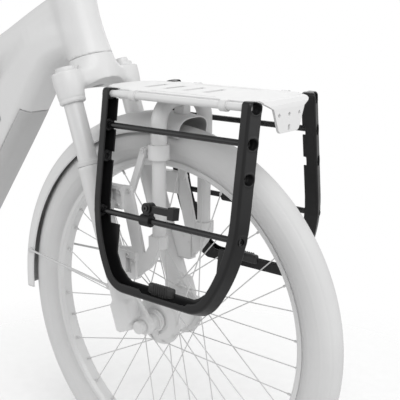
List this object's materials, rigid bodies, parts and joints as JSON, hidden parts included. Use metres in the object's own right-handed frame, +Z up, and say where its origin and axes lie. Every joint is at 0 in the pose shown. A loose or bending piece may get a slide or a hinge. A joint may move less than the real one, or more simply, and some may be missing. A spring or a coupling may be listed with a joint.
{
  "type": "electric bicycle front end with carrier",
  "caption": "Front end of an electric bicycle: suspension fork, spoked wheel, mudguard and carrier platform with black side frames.",
  "frame": {"origin": "middle of the front axle", "axes": "+X the way the bicycle rides, +Y to the rider's left, +Z up"},
  "size_m": [0.952, 0.2782, 0.996],
  "materials": {
    "pale_paint": "satin",
    "pale_aluminium": "satin",
    "pale_anodised": "satin",
    "pale_plastic": "matt",
    "pale_rubber": "matt",
    "pale_tyre": "matt",
    "cover_grey": "satin",
    "dark_rubber": "matt",
    "bare_steel": "brushed",
    "black_nylon": "satin",
    "black_steel": "gloss"
  },
  "bodies": {
    "frame": {"head_tube": "pale_paint", "top_tube": "pale_paint", "down_tube": "pale_paint", "battery_cover": "cover_grey", "charge_port_cap": "dark_rubber", "lower_bearing": "bare_steel", "upper_bearing": "bare_steel"},
    "steering": {"steerer_tube": "pale_paint", "fork_crown": "pale_paint", "lower_headset_cover": "pale_paint", "stanchion_right": "pale_anodised", "stanchion_left": "pale_anodised", "stanchion_caps": "pale_anodised", "upper_headset_cover": "pale_paint"},
    "fork_lower": {"lower_leg_right": "pale_paint", "lower_leg_left": "pale_paint", "dust_seals": "pale_rubber", "thru_axle": "bare_steel", "axle_nut": "bare_steel", "hub_spacers": "pale_aluminium", "mudguard": "pale_plastic", "mudguard_mount": "pale_paint", "stay_right": "bare_steel", "stay_left": "bare_steel", "platform_tray": "pale_plastic", "rail_right": "pale_paint", "rail_left": "pale_paint", "front_plate": "pale_plastic", "carrier_hoop": "pale_paint", "sleeve_right": "pale_paint", "sleeve_left": "pale_paint", "post_right": "pale_paint", "post_left": "pale_paint", "bracket_right": "pale_paint", "bracket_left": "pale_paint", "brace_right": "pale_paint", "brace_left": "pale_paint", "bracket_screws": "bare_steel", "side_frame_right": "black_nylon", "side_frame_left": "black_nylon", "upper_rod_right": "black_steel", "upper_rod_left": "black_steel", "lower_rod_right": "black_steel", "lower_rod_left": "black_steel", "pad_right": "dark_rubber", "pad_left": "dark_rubber", "rod_screws": "black_steel"},
    "wheel": {"tyre": "pale_tyre", "rim": "pale_aluminium", "spokes": "bare_steel", "nipples": "bare_steel", "hub_shell": "pale_aluminium", "hub_bearings": "bare_steel", "valve_stem": "pale_rubber"},
    "clip_r": {"clip_right": "black_nylon", "clip_screw_right": "black_steel"},
    "clip_l": {"clip_left": "black_nylon", "clip_screw_left": "black_steel"}
  },
  "joints": [
    {"name": "steer", "type": "hinge", "parent": "frame", "child": "steering", "pos_m": [-0.17865, 0, 0.41441], "axis": [-0.3256, 0, 0.9455], "range_deg": [-35, 35]},
    {"name": "suspension", "type": "slide", "parent": "steering", "child": "fork_lower", "axis": [-0.3256, 0, 0.9455], "range_m": [0, 0.05], "stiffness_N_per_m": 8000, "springref_m": -0.02},
    {"name": "wheel_spin", "type": "hinge", "parent": "fork_lower", "child": "wheel", "pos_m": [0, 0, 0], "axis": [0, 1, 0], "continuous": true},
    {"name": "clip_right_swing", "type": "hinge", "parent": "fork_lower", "child": "clip_r", "pos_m": [0.0455, -0.10958, 0.20782], "axis": [1, 0, 0], "range_deg": [0, 90]},
    {"name": "clip_left_swing", "type": "hinge", "parent": "fork_lower", "child": "clip_l", "pos_m": [0.0455, 0.10958, 0.20782], "axis": [-1, 0, 0], "range_deg": [0, 90]}
  ]
}
